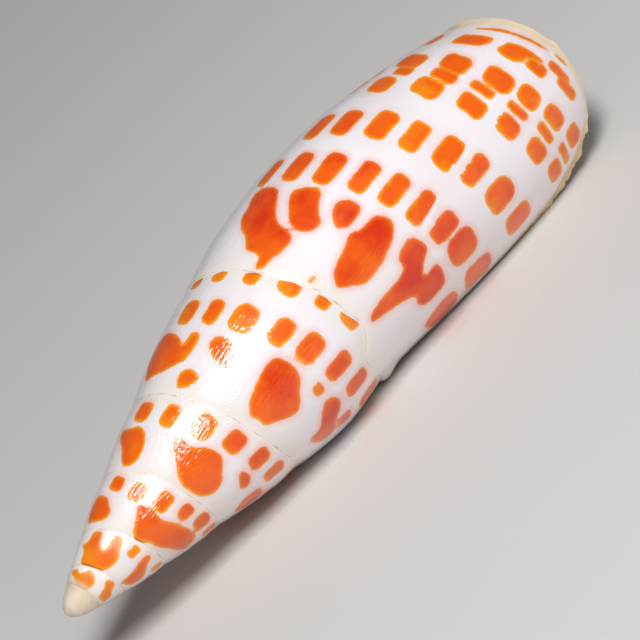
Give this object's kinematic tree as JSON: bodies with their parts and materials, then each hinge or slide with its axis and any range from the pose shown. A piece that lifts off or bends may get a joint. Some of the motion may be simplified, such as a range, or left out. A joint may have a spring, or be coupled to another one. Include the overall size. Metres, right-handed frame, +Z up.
{
  "type": "mitre shell",
  "caption": "Tall pointed sea snail shell with coiled whorls, a long narrow mouth, folded pillar and thin toothed lip, lying on its belly and lip.",
  "frame": {"origin": "middle of the bounding box at its base, on the surface that the shell lies on, belly and lip down", "axes": "+X along the shell from the tip of the spire to the front end, +Z up, +Y to the side away from the outer lip"},
  "size_m": [0.1224, 0.0378, 0.0349],
  "materials": {
    "shell": "gloss"
  },
  "bodies": {
    "root": {"shell": "shell"}
  },
  "joints": []
}
